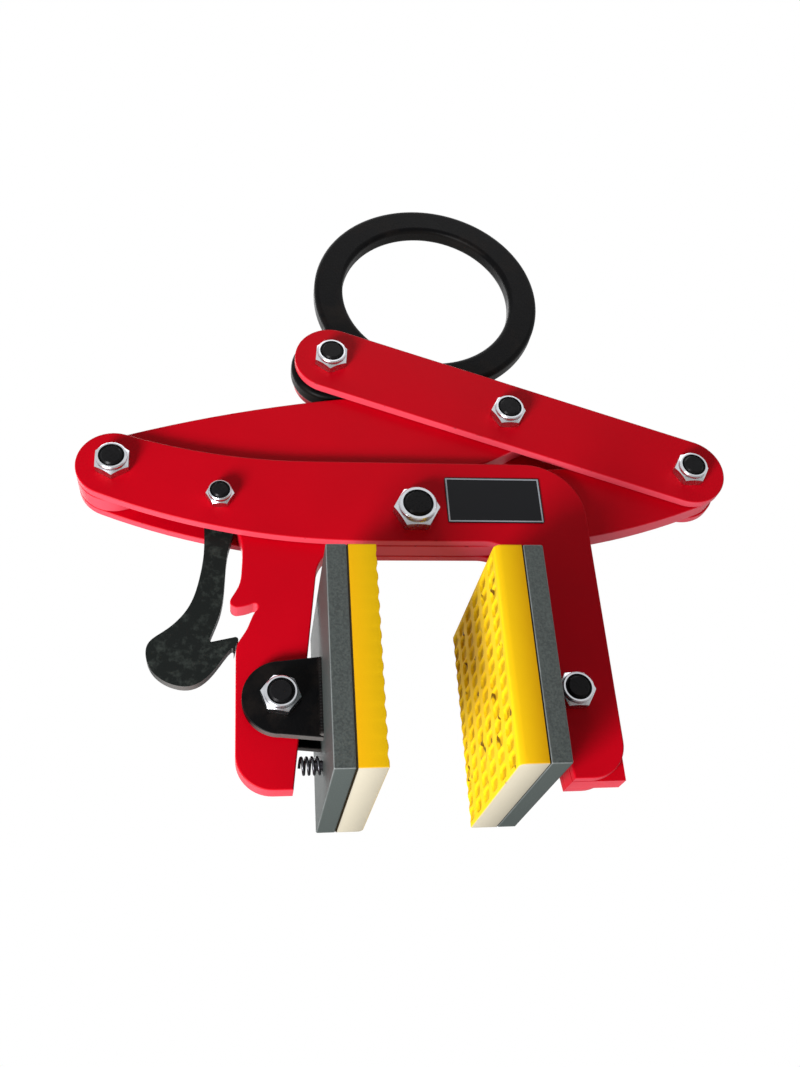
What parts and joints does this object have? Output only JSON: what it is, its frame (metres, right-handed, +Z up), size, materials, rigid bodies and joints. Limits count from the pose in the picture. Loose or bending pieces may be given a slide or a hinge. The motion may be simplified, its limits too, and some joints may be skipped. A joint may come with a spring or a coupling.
{
  "type": "vertical lifting clamp",
  "caption": "Scissor lifting clamp for upright stone slabs: crossed steel arms, links, a lifting ring, a hold-open latch hook and swivelling cleated pads that close under load.",
  "frame": {"origin": "on the floor under the centre pivot, in the middle plane of the arms", "axes": "+X from the left jaw to the right jaw, +Y from the nuts to the bolt heads, +Z up"},
  "size_m": [0.5005, 0.16, 0.5265],
  "materials": {
    "red_enamel": "gloss enamel",
    "black_enamel": "satin black paint, worn",
    "grey_plate": "matt grey paint",
    "yellow_pad": "cast elastomer",
    "black_label": "black anodised, bare rim",
    "spring_steel": "bright drawn wire",
    "zinc_nut": "bright zinc plate",
    "black_bolt": "black oxide",
    "nylon_insert": "moulded"
  },
  "bodies": {
    "outer_arm": {"outer_arm_front": "red_enamel", "outer_arm_rear": "red_enamel", "outer_arm_foot_block": "red_enamel", "rating_plate": "black_label", "latch_spacers": "black_enamel", "left_arm_bolt": "black_bolt", "left_arm_nut": "zinc_nut", "left_arm_nut_insert": "nylon_insert", "centre_bolt": "black_bolt", "centre_nut": "zinc_nut", "centre_nut_insert": "nylon_insert", "latch_bolt": "black_bolt", "latch_nut": "zinc_nut", "latch_nut_insert": "nylon_insert", "right_jaw_bolt": "black_bolt", "right_jaw_nut": "zinc_nut", "right_jaw_nut_insert": "nylon_insert"},
    "inner_arm": {"inner_arm": "red_enamel"},
    "single_link": {"single_link": "red_enamel"},
    "double_link": {"double_link_front": "red_enamel", "double_link_rear": "red_enamel", "right_arm_bolt": "black_bolt", "right_arm_nut": "zinc_nut", "right_arm_nut_insert": "nylon_insert", "link_bolt": "black_bolt", "link_nut": "zinc_nut", "link_nut_insert": "nylon_insert", "ring_bolt": "black_bolt", "ring_nut": "zinc_nut", "ring_nut_insert": "nylon_insert"},
    "ring": {"lifting_ring": "black_enamel"},
    "latch": {"latch_hook": "black_enamel"},
    "left_jaw": {"left_jaw_plate": "grey_plate", "left_pad": "yellow_pad", "left_jaw_lug_front": "black_enamel", "left_jaw_lug_rear": "black_enamel", "left_spring": "spring_steel", "left_spring_peg": "spring_steel", "left_jaw_bolt": "black_bolt", "left_jaw_nut": "zinc_nut", "left_jaw_nut_insert": "nylon_insert"},
    "right_jaw": {"right_jaw_plate": "grey_plate", "right_pad": "yellow_pad", "right_jaw_lug": "black_enamel", "right_spring": "spring_steel", "right_spring_peg": "spring_steel"}
  },
  "joints": [
    {"name": "scissor", "type": "hinge", "parent": "outer_arm", "child": "inner_arm", "pos_m": [0, 0, 0.212], "axis": [0, -1, 0], "range_deg": [0, 22.6]},
    {"name": "single_link_pivot", "type": "hinge", "parent": "outer_arm", "child": "single_link", "pos_m": [-0.222, 0, 0.251], "axis": [0, -1, 0], "range_deg": [0, 17.6]},
    {"name": "double_link_pivot", "type": "hinge", "parent": "inner_arm", "child": "double_link", "pos_m": [0.222, 0, 0.251], "axis": [0, -1, 0], "range_deg": [-25.2, 0]},
    {"name": "left_jaw_swivel", "type": "hinge", "parent": "inner_arm", "child": "left_jaw", "pos_m": [-0.102, 0, 0.069], "axis": [0, -1, 0], "range_deg": [-11.4, 0], "deforming": ["left_spring"]},
    {"name": "right_jaw_swivel", "type": "hinge", "parent": "outer_arm", "child": "right_jaw", "pos_m": [0.102, 0, 0.069], "axis": [0, -1, 0], "range_deg": [0, 11.4], "deforming": ["right_spring"]},
    {"name": "ring_swing", "type": "hinge", "parent": "double_link", "child": "ring", "pos_m": [-0.05835, 0, 0.35169], "axis": [0, -1, 0], "range_deg": [-4.5, 98]},
    {"name": "latch_swing", "type": "hinge", "parent": "outer_arm", "child": "latch", "pos_m": [-0.144, 0, 0.224], "axis": [0, -1, 0], "range_deg": [-35, 0]}
  ],
  "couplings": [
    {"joint": "single_link_pivot", "follows": "scissor", "ratio": 0.773},
    {"joint": "double_link_pivot", "follows": "scissor", "ratio": -1.108},
    {"joint": "left_jaw_swivel", "follows": "scissor", "ratio": -0.5},
    {"joint": "right_jaw_swivel", "follows": "scissor", "ratio": 0.5}
  ]
}
